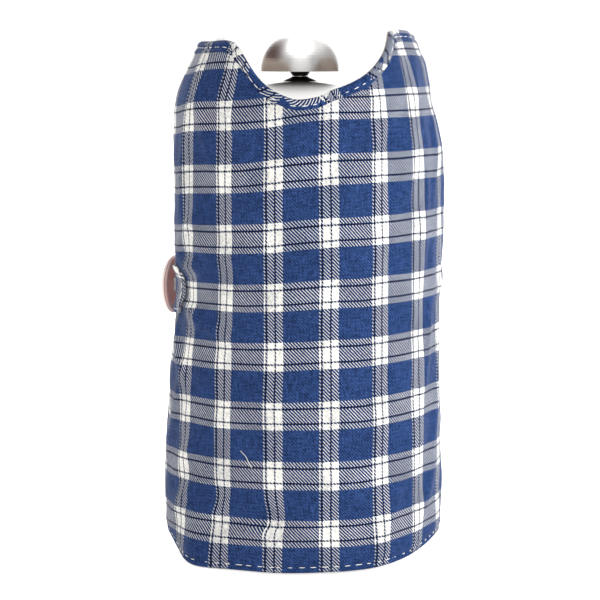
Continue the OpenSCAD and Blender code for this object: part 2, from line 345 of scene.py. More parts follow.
def rubber(name):
    made = Finish(name)
    vector = made.place()
    grain = made.noise(vector, 1100, 3, 0.6)
    colour = made.mix(made.noise(vector, 70), (0.018, 0.018, 0.018), (0.045, 0.044, 0.042))
    return made.done(colour, grain, 0.00006, 0.75 + grain * 0.2)


def turned_brass(name):
    made = Finish(name, Metallic=1.0)
    x, y, z = made.split(made.place())
    rings = made.streaks(x * 20, y * 20, z * 3000)
    colour = made.mix(rings, (0.60, 0.40, 0.16), (0.80, 0.60, 0.28))
    return made.done(colour, rings, 0.00003, 0.25 + rings * 0.2)


def clear_glass(name):
    made = Finish(name, IOR=1.47, Transmission_Weight=1.0)
    vector = made.place()
    film = made.noise(vector, 30, 3, 0.5)
    return made.done((0.96, 0.985, 0.98, 1), made.noise(vector, 14, 1, 0.3), 0.00008, 0.015 + film * 0.03)


def horn(name):
    """Button stock, brown behind and pale in front: the pale front is partly its own colour and partly a
    painted highlight on the rim, and a dark line of painted shade marks the rim's edge between them.
    """
    made = Finish(name, Coat_Roughness=0.15, Specular_IOR_Level=0.45, Subsurface_Weight=0.5,
                  Subsurface_Radius=(1.0, 0.8, 0.75), Subsurface_Scale=0.003)
    vector = made.place()
    x, y, z = made.split(vector)
    depth = (x * BUTTON_WAY[0] + y * BUTTON_WAY[1]) / MM - BUTTON_BACK
    bent = made.noise(vector, 90, 3, 0.5)
    streak = made.streaks(x * 90 + bent * 2, y * 90, z * 420 + bent * 3, 4, 0.6)
    fleck = made.noise(vector, 700, 2, 0.5)
    colour = made.mix(made.clamp(streak * 1.6 - 0.3), (0.56, 0.37, 0.34), (0.74, 0.54, 0.50))
    colour = made.mix(made.clamp(fleck * 3 - 1.7), colour, (0.62, 0.50, 0.46))
    # pale front: partly the horn's own colour, partly a painted highlight on the rim
    colour = made.mix(made.clamp((depth - BUTTON_PALE_HIGHLIGHT + bent * 0.1) * 8), colour, (0.64, 0.53, 0.50))
    # dark line: painted shade along the rim's edge
    line = made.clamp(1 - made.maths("ABSOLUTE", depth - BUTTON_SHADE_LINE + bent * 0.1) * 4)
    colour = made.mix(line, colour, (0.05, 0.03, 0.028))
    return made.done(colour, streak * 0.7 + fleck * 0.3, 0.00005, 0.3 + streak * 0.2,
                     Coat_Weight=0.15 + streak * 0.2)


def sewing_thread(name):
    made = Finish(name, Sheen_Weight=0.2)
    vector = made.place()
    x, y, z = made.split(vector)
    ply = made.maths("SINE", (x + y + z * 1.6) * PLY_TURNS) * 0.5 + 0.5
    colour = made.mix(ply * 0.6 + made.noise(vector, 300) * 0.4, (0.56, 0.55, 0.52), (0.80, 0.79, 0.76))
    return made.done(colour, ply, 0.00008, 0.65 + ply * 0.2)


def weave_place(made):
    """Warp and weft positions on a cloth piece, in millimetres."""
    vector = made.node("Attribute", {"attribute_name": "weave"}, None, output="Vector")
    return vector, *made.split(vector)[:2]


def lining_cloth(name):
    made = Finish(name, Sheen_Weight=0.25)
    _, x, y = weave_place(made)
    pitch = 2 * math.pi / LINING_PITCH
    over = made.maths("SINE", x * pitch) * made.maths("SINE", y * pitch)
    slub = made.streaks(x * 0.12, y * 2.2, 0, 3, 0.6)
    colour = made.mix(made.clamp(over * 0.3 + slub * 0.8), (0.23, 0.185, 0.155), (0.40, 0.335, 0.285))
    return made.done(colour, over * 0.4 + slub * 0.6, 0.00012, 0.85 + slub * 0.1)


def wadding_felt(name):
    made = Finish(name, Sheen_Weight=0.4)
    fibre = made.noise(made.place(), 520, 5, 0.7)
    colour = made.mix(fibre, (0.74, 0.74, 0.72), (0.92, 0.92, 0.90))
    return made.done(colour, fibre, 0.0003, 0.9 + fibre * 0.1)


def stripes(made, place, repeat, lines):
    """Mask that is 1 on the lines, each (start, width) in mm within the repeat."""
    within = place % repeat
    total = None
    for start, width in lines:
        line = (within > start) * (within < start + width)
        total = line if total is None else total + line
    return total


# Cream and navy lines within one repeat, each (start, width) in mm
WARP_CREAM = ((0.0, 0.65), (1.6, 3.05), (5.35, 3.0))
WARP_NAVY = ((0.65, 0.95), (4.65, 0.7))
WEFT_CREAM = ((0.0, 2.2), (2.95, 5.3), (9.05, 2.25))
WEFT_NAVY = ((2.2, 0.75), (8.25, 0.8))


def plaid(settings, name):
    """Twill plaid: at each point either the warp yarn or the weft yarn lies on top."""
    made = Finish(name, Sheen_Weight=0.12, Sheen_Roughness=0.25, Specular_IOR_Level=0.05)
    vector, x, y = weave_place(made)
    drift = made.noise(vector, 0.9, 2, 0.5) - 0.5
    warp_x, weft_y = x + drift * 0.16, y + drift * 0.16

    warp_cream = stripes(made, warp_x, settings.warp_repeat, WARP_CREAM)
    warp_navy = stripes(made, warp_x, settings.warp_repeat, WARP_NAVY)
    weft_cream = stripes(made, weft_y, settings.weft_repeat, WEFT_CREAM)
    weft_navy = stripes(made, weft_y, settings.weft_repeat, WEFT_NAVY)

    ribs = (x + y) * (2 * math.pi / settings.rib) + drift * 1.5
    wave = made.maths("SINE", ribs)
    weft_on_top = made.clamp(wave * 2.6 + 0.5 - (weft_cream - warp_cream) * 1.6)

    # Yarn colours, with slubs along each yarn
    warp_slub = made.streaks(x * 1.3, y * 0.22, 3, 2, 0.6)
    weft_slub = made.streaks(x * 0.22, y * 1.3, 7, 2, 0.6)
    cloud = made.noise(vector, 0.055, 3, 0.6)
    mottle = made.noise(vector, 0.8, 3, 0.6)

    blue, navy, cream = tuple(settings.blue), tuple(settings.navy), tuple(settings.cream)
    deep = scaled(blue, 0.38)
    pale = tuple(min(1, c * 1.7 + 0.008) for c in blue)

    def yarn(slub, is_cream, is_navy):
        base = made.mix(made.clamp(slub * 2.7 - 0.9 + wave * 0.16), deep, pale)
        base = made.mix(is_navy, base, navy)
        return made.mix(is_cream, base, made.mix(slub, scaled(cream, 0.90), cream))

    dark_warp = made.clamp(warp_navy + weft_navy * 0.8)
    dark_weft = made.clamp(weft_navy + warp_navy * 0.8)
    warp_yarn = yarn(warp_slub, warp_cream, dark_warp)
    weft_yarn = yarn(weft_slub, weft_cream, dark_weft)
    colour = made.mix(weft_on_top, warp_yarn, weft_yarn)
    # Painted shade: a blue yarn that dives between cream ones lies in their shade, and a cream yarn lying
    # over blue ones is darkened a little too
    crossing = made.maths("ABSOLUTE", warp_cream - weft_cream)
    top_is_cream = warp_cream * (1 - weft_on_top) + weft_cream * weft_on_top
    shade = crossing * (0.74 - made.clamp(top_is_cream) * 0.62)
    colour = made.mix(shade, colour, scaled(blue, 0.72))
    colour = made.mix(made.clamp(cloud * 0.9 + mottle * 1.1 - 0.82), colour, scaled(blue, 0.45))

    relief = made.maths("ABSOLUTE", wave) * 0.5 + mottle * 0.3 + (warp_slub + weft_slub) * 0.25
    return made.done(colour, relief, 0.00016, 0.82 + mottle * 0.14)


# Shapes

def smooth(points, at):
    """Smooth curve through (place, value) points, without overshoot, at an array of places."""
    places, values = (np.array(column, float) for column in zip(*points))
    steps, slopes = np.diff(places), np.diff(values) / np.diff(places)
    tangents = np.zeros_like(values)
    same = slopes[:-1] * slopes[1:] > 0
    tangents[1:-1][same] = 2 / (1 / slopes[:-1][same] + 1 / slopes[1:][same])
    tangents[0], tangents[-1] = slopes[0], slopes[-1]
    at = np.clip(np.asarray(at, float), places[0], places[-1])
    cell = np.clip(np.searchsorted(places, at, side="right") - 1, 0, len(steps) - 1)
    t = (at - places[cell]) / steps[cell]
    a, b, h = values[cell], values[cell + 1], steps[cell]
    return (a * (2 * t**3 - 3 * t**2 + 1) + b * (3 * t**2 - 2 * t**3)
            + h * tangents[cell] * (t**3 - 2 * t**2 + t) + h * tangents[cell + 1] * (t**3 - t**2))


def bell(distance):
    return np.exp(-distance ** 2)


def noise_field(x, y, scale, seed):
    """Repeatable smooth noise, about -1 to 1, on arrays of places in mm."""
    flat = [noise.noise(Vector((a / scale, b / scale, seed))) for a, b in zip(np.ravel(x), np.ravel(y))]
    return np.array(flat).reshape(np.shape(x)) * 1.6


# Angles are in degrees from the front, positive towards +X. Heights and widths are in mm.
SLOT_EDGE = 155.0               # half the angle that the cover goes round
BODY_TAPER = 0.0107             # how much its radius falls for each mm of height
SHOULDER_LEAN = 0.33            # how much more it falls above the neck
EDGE_ROUND = 1.6                # width over which its edges are rounded off
TURNED_HEM = 4.8                # width of the hem turned outwards along the upper edge
TURNED_STEP = 0.3               # how far it stands proud
HEM_SEAM = 2.4                  # height of the stitching above the lower edge
BACK_PLAIN = 0.6                # how much of the sides' outline is left out at the back
FLARE_WIDTH = 15
RIPPLES = ((16, 2.5, 0.35), (6.5, 8.1, 0.14))       # unevenness of the cloth: (size, seed, depth)
CALM_EDGE = 6                   # distance over which the unevenness dies away to the edge
PUCKER, PUCKER_SWING = 0.36, 0.16       # how far the topstitching pinches the cover, and how unevenly
WANDER, WANDER_SIZE = 0.22, 20          # how far the stripes wander, and over what distance

STRAP_ENDS = (128.0, 294.0)     # angles of its sewn end and its free end
BUTTONHOLE = (227, 253)
STRAP_THICK = 1.3
STRAP_SEAM = 1.6
STRAP_TIP = 7                   # degrees that the free end's rounding takes
STRAP_RISE = 2.2                # how far the free end rides up
STRAP_CHORD = 56.9              # radius at which it leaves the cover to cross the back opening
STRAP_PULL, PULL_REACH = 0.7, 11        # how far it draws the cover in, and how far above and below it
STRAP_SQUARE = 140.0            # angle of the far side of the stitched square
STRAP_WEAVE = (3.0, 4.6)        # where its cloth was cut from the plaid
STRAP_COLUMNS = 190
STRAP_ROWS = (0.02, 0.06, 0.1, 0.2, 0.34, 0.48, 0.62, 0.74, 0.84, 0.91, 0.96, 0.99, 1)

COIL_TURNS, COIL_STEPS, COIL_WIRE = 110, 14, 0.28
STITCH_RADIUS, STITCH_LIFT = 0.00017, 0.00016       # these and the next two are in metres
HAIR_RADIUS, STRAY_RADIUS = 0.00006, 0.00011
HAIR_DEPTH = 1.4                # how far below the outside the fuzz is rooted
FRAYED = (-57, -47)             # angles of the frayed corner
FRAYED_HAIRS, EDGE_HAIRS = 26, 150

# Outline seen from the front: distance from the rod's axis to the cover's left and right sides
LEFT_SIDE = (
    (2, 55), (16, 57), (40, 56.6), (58, 55.4), (76, 54.6), (84, 53.6), (92, 52.2), (100, 51.2), (108, 50.2),
    (116, 50.4), (122, 52.3), (130, 52.6), (170, 52.4), (182, 52.1), (188, 51.2), (194, 49.4), (202, 46),
    (206, 44), (212, 41.6), (216, 40.5))
RIGHT_SIDE = (
    (2, 57.4), (12, 59), (40, 59.1), (60, 58.8), (92, 58.6), (126, 59.0), (150, 59), (168, 58.6),
    (179, 56.9), (187, 54.8), (196, 53.3), (204, 51.6), (208.5, 49.4), (215.5, 46.2))

# Upper edge of the cover: (angle, height)
TOP_EDGE = (
    (-155, 194), (-148, 197), (-138, 202), (-128, 206.5), (-115, 210), (-90, 212), (-62, 212), (-46, 212.4),
    (-39.5, 211.6), (-32, 207), (-25.5, 201.3), (-19, 195.8), (-11, 191.4), (-3, 189.2), (5, 190.3),
    (11, 192.8), (17, 194.6), (24, 197.2), (29.5, 199.8), (35.7, 203.8), (42, 208.4), (46.5, 212.6),
    (50, 216), (57, 216.6), (80, 216), (105, 213), (120, 208.5), (133, 203), (144, 198), (155, 194))

# How far the hem rises above its lowest level: (angle, height)
HEM_RISE = (
    (-155, 4), (-100, 6), (-80, 5), (-66, 1.8), (-56, -0.6), (-46, -1.4), (-30, -1.2), (-15, -1.1), (0, -1),
    (15, -0.9), (30, -0.4), (50, 1.4), (72, 4.6), (90, 5.4), (155, 4))

# Folds in the cloth: (angle, height, direction in degrees above level, half length, half width, rise)
FOLDS = (
    (-60, 121, 8, 22, 4.0, 1.15), (-56, 101, -16, 24, 4.5, 1.4), (-66, 132, 42, 16, 4.5, 1.1),
    (-72, 86, -44, 20, 4.5, 1.3), (-42, 128, -6, 16, 5, 0.9), (-70, 62, 62, 24, 5.5, 1.1),
    (-58, 44, 40, 24, 6, 0.9), (-34, 26, 14, 26, 4.5, 1.1), (-62, 24, 36, 18, 5, 1.0),
    (-12, 18, 12, 20, 5, 0.8), (16, 16, 82, 14, 6, 0.7), (36, 22, 68, 18, 6, 0.9), (62, 28, 56, 22, 6, 1.0),
    (60, 84, 80, 32, 5.5, 1.1), (72, 60, 74, 26, 5, 0.9), (58, 142, 84, 30, 5, 1.2),
    (70, 168, 78, 22, 4.5, 1.1), (46, 158, 66, 24, 6, 0.8), (32, 176, 50, 18, 5, 0.9),
    (-28, 178, -52, 18, 5, 0.9), (-52, 184, -64, 18, 4.5, 1.1), (-66, 158, 82, 24, 5, 0.9),
    (58, 194, 64, 16, 5, 0.8), (-18, 150, -30, 28, 9, 0.6), (10, 120, 24, 32, 10, 0.5),
    (24, 64, -20, 30, 9, 0.6), (-8, 70, 32, 28, 9, 0.6), (98, 116, 12, 28, 5.5, 1.2),
    (122, 98, -14, 24, 5, 1.1), (-130, 122, 12, 20, 5, 1.1), (-126, 96, -14, 20, 5, 1.1),
    (88, 150, 76, 30, 5.5, 1.0), (106, 62, 64, 28, 6, 1.1), (-122, 64, -62, 26, 6, 1.0),
    (-106, 160, 76, 26, 5.5, 1.0), (-98, 42, 78, 26, 6, 1.0), (122, 168, -74, 26, 5.5, 0.9),
    (134, 40, 74, 22, 6, 0.9), (90, 24, 60, 18, 6, 0.9))

# Where the hem stands away from the pot: (angle, height that it starts from, flare)
FLARES = ((-47, 27, 5.5), (-12, 24, 1.6), (30, 26, 1.5))


def arc_mm(angle):
    """Distance round the cover from the front, in mm."""
    return np.radians(angle) * HEM_R


def round_axis(radius, angle, height):
    """Points in metres, from a radius about the cover's axis, an angle and a height."""
    turn = np.radians(angle)
    return np.stack([AXIS_X + radius * np.sin(turn), -radius * np.cos(turn), height], axis=-1) * MM


def ripple(across, up):
    return sum(noise_field(across, up, size, seed) * depth for size, seed, depth in RIPPLES)


def cover_radius(angle, height):
    """Outside radius of the cover about its own axis, with its folds."""
    turn = np.radians(angle)
    side = np.sin(turn) ** 2
    lean = np.clip(height - NECK_Z, 0, None) * SHOULDER_LEAN
    plain = HEM_R - (height - HEM_Z) * BODY_TAPER - lean
    sides = np.where(turn < 0, smooth(LEFT_SIDE, height) + AXIS_X, smooth(RIGHT_SIDE, height) - AXIS_X)
    back = np.clip((np.abs(angle) - 90) / 50, 0, 1)
    radius = plain + (sides - plain) * side * (1 - back * BACK_PLAIN)
    across, up = arc_mm(angle), height
    for centre, level, direction, half_length, half_width, rise in FOLDS:
        away, above = across - arc_mm(centre), up - level
        c, s = math.cos(math.radians(direction)), math.sin(math.radians(direction))
        along, over = (away * c + above * s) / half_length, (above * c - away * s) / half_width
        radius = radius + rise * (1 - over ** 2) * bell(along) * bell(over)
    # below a crease the hem flares out
    for centre, reach, flare in FLARES:
        near = bell((across - arc_mm(centre)) / FLARE_WIDTH)
        radius = radius + flare * near * np.clip(1 - up / reach, 0, 1) ** 1.3
    # the strap draws the sides in
    pull = bell((height - STRAP_Z) / PULL_REACH) * np.clip((np.abs(angle) - 100) / 30, 0, 1)
    return radius - STRAP_PULL * pull


class CoverShape:
    """The cover as a grid: columns run round it, rows run from the hem to the upper edge."""

    def __init__(self, columns, rows, settings, inset=0.0):
        self.settings, self.half = settings, settings.thickness / 2
        edge = SLOT_EDGE - math.degrees(inset / HEM_R)
        turns = self.crowd(columns, 2 * SLOT_EDGE * math.pi / 180 * HEM_R) * 2 - 1
        fold, step = 1 - TURNED_HEM / (TOP_Z - HEM_Z), 0.0003
        ups = np.sort(np.append(self.crowd(rows, TOP_Z - HEM_Z), (fold - step, fold + step)))
        self.turned = (ups > fold)[:, None]
        self.angle = np.repeat(turns[None, :] * edge, len(ups), axis=0)
        low = HEM_Z + smooth(HEM_RISE, self.angle) + inset
        high = smooth(TOP_EDGE, self.angle) - inset * 1.3
        self.height = low + (high - low) * ups[:, None]
        self.slope = np.gradient(high[0], arc_mm(self.angle[0]))
        self.from_top = (high - self.height) / np.sqrt(1 + self.slope ** 2)
        from_slot = arc_mm(edge) - np.abs(arc_mm(self.angle))
        self.from_edge = np.minimum(np.minimum(self.height - low, self.from_top), from_slot)
        uneven = ripple(arc_mm(self.angle), self.height) * np.clip(self.from_edge / CALM_EDGE, 0, 1)
        radius = cover_radius(self.angle, self.height)
        self.middle = radius - self.half + uneven + self.turned * TURNED_STEP

    @staticmethod
    def crowd(count, length):
        """count places from 0 to 1, closer together where the edge is rounded off at both ends."""
        fine = max(5, count // 16)
        near = (1 - np.cos(np.linspace(0, math.pi / 2, fine))) * EDGE_ROUND / length
        inner = np.linspace(EDGE_ROUND / length, 1 - EDGE_ROUND / length, count - 2 * fine + 2)[1:-1]
        return np.concatenate([near, inner, 1 - near[::-1]])

    def roundness(self):
        """1 where the cover has its full thickness, 0 at its edges, and pinched along the topstitching."""
        inside = np.clip(self.from_edge / 1.5, 0, 1)
        full = np.sqrt(np.clip(1 - (1 - inside) ** 2, 0, 1))
        seam = (self.from_edge - self.settings.seam_inset) / 0.75
        along = arc_mm(self.angle) * 0.9 + self.height * 0.9
        stitches = 2 * math.pi / (self.settings.stitch + self.settings.stitch_gap)
        pucker = PUCKER + PUCKER_SWING * np.sin(along * stitches)
        beyond = 1 + 0.10 * bell((self.from_edge - 5.4) / 1.8)
        return full * (1 - pucker * bell(seam)) * beyond

    def layer(self, depth):
        """Points at that depth below the outside, as a (rows, columns, 3) array in metres."""
        return round_axis(self.middle + (self.half - depth) * self.roundness(), self.angle, self.height)

    def weave(self):
        """Where each grid point lies on the flat cloth: warp and weft positions in mm."""
        # the turned hem shows the cloth from beyond the edge, mirrored
        beyond = 2 * self.from_top * self.turned / np.sqrt(1 + self.slope ** 2)
        across, up = arc_mm(self.angle) - beyond * self.slope, self.height + beyond
        angle = np.degrees(across / HEM_R)
        tilt = smooth(LEFT_TILT, angle) * np.clip((up - 25) / 110, 0, 1.25)
        tilt += smooth(RIGHT_TILT, angle) * (1 - up * 0.0039)
        shift = 0 * across
        for centre, level, wide, below, above, drag in DRAGS:
            over = (up - level) / np.where(up < level, below, above)
            shift += drag * bell((across - arc_mm(centre)) / wide) * bell(over)
        plaid = bpy.context.scene.press_plaid
        warp = smooth(STRIPE_ANGLES, angle - np.degrees(shift / HEM_R)) * plaid.warp_repeat
        weft = smooth(BAND_LEVELS, up - tilt) * plaid.weft_repeat
        warp += noise_field(across, up, WANDER_SIZE, 4.4) * WANDER
        weft += noise_field(across, up, WANDER_SIZE, 9.7) * WANDER
        return np.stack([warp, weft, np.zeros_like(warp)], axis=-1)


# Where the plaid's repeats begin: (angle, count) round the cover, and (height, count) up it
STRIPE_ANGLES = (
    (-200, -9), (-110, -5), (-87.5, -4), (-63.9, -3), (-39.9, -2), (-17.2, -1), (5.5, 0), (28.2, 1),
    (49.4, 2), (72, 3), (95, 4), (185, 8))
BAND_LEVELS = (
    (-12, -1), (11.5, 0), (34.6, 1), (58.8, 2), (82.8, 3), (106.8, 4), (130.6, 5), (155.2, 6), (180.4, 7),
    (204.8, 8), (229.2, 9))
# How far the bands drop to the left and rise to the right: (angle, mm)
LEFT_TILT = ((-180, -5.5), (-80, -5), (-57, -3.6), (-28, -2.5), (-14, -1.4), (0, 0), (15, 0.9), (90, 0.7))
RIGHT_TILT = ((-20, 0), (20, -0.2), (35, 0.7), (57, 2.3), (72, 2.7), (180, 2.7))
# Where a fold drags the stripes sideways: (angle, height, half width, reach below, reach above, shift)
DRAGS = (
    (-44, 127, 9, 12, 7, 1.4), (-43, 27, 9, 3.5, 10, 2.2), (-15, 21, 8, 3, 10, 2.0),
    (-66, 32, 8, 6, 14, 1.6), (52, 26, 9, 9, 9, 0.8))


def new_piece(name, mesh, body):
    piece = bpy.data.objects.new(name, mesh)
    bpy.context.scene.collection.objects.link(piece)
    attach(piece, body)
    return piece


def make_mesh(name, points, faces, weave=None, materials=None):
    mesh = bpy.data.meshes.new(name)
    mesh.from_pydata([tuple(p) for p in points], [], [tuple(int(i) for i in f) for f in faces])
    mesh.validate()
    if weave is not None:
        layer = mesh.attributes.new("weave", "FLOAT_VECTOR", "POINT")
        layer.data.foreach_set("vector", np.asarray(weave, np.float32).ravel())
    if materials is not None:
        mesh.polygons.foreach_set("material_index", np.asarray(materials, np.int32))
    mesh.shade_smooth()
    return mesh


def shell(name, outer, inner, weave, keep=None, joined=None):
    """Closed sheet between two grids of points. joined marks points that both grids share."""
    rows, columns = outer.shape[:2]
    keep = np.ones((rows - 1, columns - 1), bool) if keep is None else keep
    joined = np.zeros((rows, columns), bool) if joined is None else joined
    front = np.arange(rows * columns).reshape(rows, columns)
    back = np.where(joined, front, front + rows * columns)

    def quads(index, flip):
        corners = [index[:-1, :-1], index[:-1, 1:], index[1:, 1:], index[1:, :-1]]
        return np.stack(corners[::-1] if flip else corners, axis=-1)[keep]

    outside, inside = quads(front, False), quads(back, True)
    edges = {}
    for quad in outside:
        for a, b in zip(quad, np.roll(quad, -1)):
            edges[(a, b)] = True
    flat_back = back.ravel()
    walls = [(b, a, flat_back[a], flat_back[b]) for a, b in edges
             if (b, a) not in edges and not (flat_back[a] == a and flat_back[b] == b)]
    points = np.concatenate([outer.reshape(-1, 3), inner.reshape(-1, 3)])
    cloth = np.concatenate([weave.reshape(-1, 3)] * 2)
    faces = [*outside, *inside, *walls]
    used = np.unique(np.concatenate([np.ravel(f) for f in faces]))
    renumber = np.full(len(points), -1)
    renumber[used] = np.arange(len(used))
    faces = [[v for i, v in enumerate(f) if v != f[i - 1]] for f in (renumber[np.array(q)] for q in faces)]
    sides = [0] * len(outside) + [1] * len(inside) + [0] * len(walls)
    kept = [i for i, f in enumerate(faces) if len(f) > 2]
    return make_mesh(name, points[used], [faces[i] for i in kept], cloth[used], [sides[i] for i in kept])


def ring_faces(count, sides, closed=False):
    """Faces between rings of points, with capped ends unless the last ring meets the first."""
    faces = []
    for i in range(count if closed else count - 1):
        j = (i + 1) % count
        faces += [(i * sides + k, i * sides + (k + 1) % sides, j * sides + (k + 1) % sides, j * sides + k)
                  for k in range(sides)]
    if not closed:
        faces += [tuple(reversed(range(sides))), tuple(range((count - 1) * sides, count * sides))]
    return faces


def capsule(start, end, normal, radius=STITCH_RADIUS, lift=STITCH_LIFT, rings=7, sides=6):
    """Points and faces of one stitch: a fat thread that rises out of the cloth and dives back."""
    along = end - start
    side = np.cross(along / np.linalg.norm(along), normal)
    points = []
    for i in range(rings):
        t = i / (rings - 1)
        girth = radius * math.sqrt(max(0.05, 1 - (2 * t - 1) ** 4))
        centre = start + along * t + normal * (lift * (1 - (2 * t - 1) ** 2) - radius * 0.5)
        for k in range(sides):
            a = 2 * math.pi * k / sides
            points.append(centre + side * (girth * math.cos(a)) + normal * (girth * math.sin(a)))
    return points, ring_faces(rings, sides)


def stitch_row(path, normals, settings):
    """Stitches laid end to end along a path of points in metres."""
    lengths = np.concatenate([[0], np.cumsum(np.linalg.norm(np.diff(path, axis=0), axis=1))])
    stitch, gap = settings.stitch * MM, settings.stitch_gap * MM

    def at(distance, values):
        return np.array([np.interp(distance, lengths, values[:, i]) for i in range(3)])

    made, place = [], gap / 2
    while place + stitch < lengths[-1]:
        long = stitch * (1 + 0.16 * math.sin(len(made) * 2.3))
        normal = at(place + long / 2, normals)
        made.append(capsule(at(place, path), at(place + long, path), normal / np.linalg.norm(normal)))
        place += stitch + gap
    return made


def tube(points, radius, sides, closed=False):
    """Points and faces of a round tube along a path."""
    path = np.asarray(points, float)
    ahead = np.roll(path, -1, axis=0) - np.roll(path, 1, axis=0)
    if not closed:
        ahead[0], ahead[-1] = path[1] - path[0], path[-1] - path[-2]
    ahead /= np.linalg.norm(ahead, axis=1)[:, None]
    up = np.array([0.0, 0.0, 1.0]) if abs(ahead[0][2]) < 0.9 else np.array([1.0, 0.0, 0.0])
    rings = []
    for centre, way in zip(path, ahead):
        up = up - way * np.dot(up, way)
        up /= np.linalg.norm(up)
        side = np.cross(way, up)
        rings += [centre + radius * (up * math.cos(a) + side * math.sin(a))
                  for a in np.linspace(0, 2 * math.pi, sides, endpoint=False)]
    return rings, ring_faces(len(path), sides, closed)


def thread_piece(name, parts, material):
    """One piece of thread on the pot, merged from parts of (points, faces)."""
    points, faces = [], []
    for part, quads in parts:
        faces += [[v + len(points) for v in quad] for quad in quads]
        points += part
    piece = new_piece(name, make_mesh(name, points, faces), "pot")
    dress(piece, material)
    return piece


# Studio

FLOOR_REACH = 6.0
# Square lamps: (name, place, aim, size, watts)
LAMPS = (
    ("front_softbox", (0.7, -1.4, 0.9), (0, 0, 0.12), 0.6, 8),
    ("right_softbox", (1.25, -0.15, 0.4), (0, 0, 0.12), 0.5, 14),
    ("left_rim", (-0.75, 0.88, 0.3), (0, 0, 0.11), 0.4, 10),
    ("right_rim", (0.8, 0.85, 0.3), (0, 0, 0.11), 0.4, 7))
# Parts of the room that steel mirrors: (direction, spread in degrees, level), and shades with
# (direction, spread in degrees, amount, colour)
CEILING_LIGHTS = (((0, -0.42, 0.91), 44, 2.3), ((0, 0.80, 0.60), 44, 3.4))
SIDE_SHADES = (
    ((-0.95, 0.25, 0.30), 56, 1.0, (0.10, 0.055, 0.048)), ((0.89, 0.42, 0.1), 40, 0.8, (0.34, 0.32, 0.31)))


# Operators

class PressOperator(bpy.types.Operator):
    """Base of the operators that dress the press."""

    def execute(self, context):
        self.make(context.scene)
        return {"FINISHED"}


class MakeStage(PressOperator):
    """Make the floor, the lights, the surroundings and the camera"""

    bl_idname = "press.make_stage"
    bl_label = "Stage"

    def make(self, scene):
        studio = scene.press_studio
        scene.view_settings.view_transform = "Standard"
        floor = bpy.data.meshes.new("floor")
        corners = [(x * FLOOR_REACH, y * FLOOR_REACH, 0) for x, y in ((-1, -1), (1, -1), (1, 1), (-1, 1))]
        floor.from_pydata(corners, [], [(0, 1, 2, 3)])
        table = bpy.data.objects.new("floor", floor)
        scene.collection.objects.link(table)
        paper = Finish("pale_paper", Roughness=0.9, Emission_Strength=0.7)
        # dimmer in mirrors, so that bright steel has something dark to show
        mirrored = paper.node("LightPath", None, None, output="Is Glossy Ray")
        white = paper.mix(paper.noise(paper.place(), 3), grey(0.93), grey(0.96))
        paper.surface(Base_Color=paper.mix(mirrored, white, grey(0.35)),
                      Emission_Color=paper.mix(mirrored, grey(1), grey(0.05)))
        floor.materials.append(paper.material)
        self.surroundings(scene, studio)
        for lamp in LAMPS:
            self.lamp(scene, *lamp)
        self.camera(scene, studio)

    @staticmethod
    def surroundings(scene, studio):
        """A white room: dimmer in front, bright above, shaded at the sides, and plain white to look at."""
        scene.world = bpy.data.worlds.new("white_room")
        room = Tree(scene.world)
        way = room.node("TexCoord", None, None, output="Generated")
        x, y, z = room.split(way)
        level = studio.white
        colour = room.mix(room.clamp(y * 2.5), grey(level * 0.58), grey(level * 0.95))
        streaks = room.streaks(x * 5, y * 5, z * 0.6)
        colour = room.mix(room.clamp(streaks * 3 - 1.2) * 0.5, colour, grey(level * 0.32))
        colour = room.mix(room.towards(way, (0.05, -1, 0.15), 38), colour, grey(level))
        colour = room.mix(room.clamp((z - 0.52) * 7), colour, grey(level * 1.05))
        for aim, spread, bright in CEILING_LIGHTS:
            colour = room.mix(room.towards(way, aim, spread), colour, grey(level * bright))
        for aim, spread, amount, shade in SIDE_SHADES:
            colour = room.mix(room.towards(way, aim, spread) * amount, colour, shade)
        seen = room.node("LightPath", None, None, output="Is Camera Ray")
        colour = room.mix(seen, colour, grey(level * 1.1))
        room.tree.links.new(colour.output, room.tree.nodes["Background"].inputs["Color"])

    @staticmethod
    def lamp(scene, name, place, aim, size, power):
        light = bpy.data.lights.new(name, "AREA")
        light.shape, light.size, light.energy = "SQUARE", size, power
        lamp = bpy.data.objects.new(name, light)
        lamp.location = place
        lamp.rotation_euler = (Vector(aim) - Vector(place)).to_track_quat("-Z", "Y").to_euler()
        lamp.visible_glossy = False
        scene.collection.objects.link(lamp)

    @staticmethod
    def camera(scene, studio):
        data = bpy.data.cameras.new("camera")
        data.lens, data.clip_end = studio.lens, 50
        camera = bpy.data.objects.new("camera", data)
        camera.location = (0, -studio.distance, studio.eye_height)
        camera.rotation_euler = (math.pi / 2 - studio.tilt, 0, 0)
        scene.collection.objects.link(camera)
        scene.camera = camera


class MakePot(PressOperator):
    """Finish the base pad, the steel frame, the handle and the glass beaker"""

    bl_idname = "press.make_pot"
    bl_label = "Pot"

    def make(self, scene):
        steel = polished_steel("frame_steel")
        for node in ("frame_base", "frame_uprights", "frame_band", "frame_stud", "clamp_bolt", "clamp_nut",
                     "handle_pin"):
            dress(node, steel)
        dress("base_pad", rubber("matt_rubber"))
        dress("handle", moulded_black("handle_plastic", 0.00004))
        dress("glass_beaker", clear_glass("clear_glass"))


class MakeLid(PressOperator):
    """Finish the lid, its strainer cup and the bushing in its middle"""

    bl_idname = "press.make_lid"
    bl_label = "Lid"

    def make(self, scene):
        dress("lid_dome", satin_steel("lid_steel"))
        dress("lid_cup", pressed_steel("cup_steel"))
        black = moulded_black("bushing_plastic")
        dress("lid_bushing", black)
        dress("bushing_nut", black)


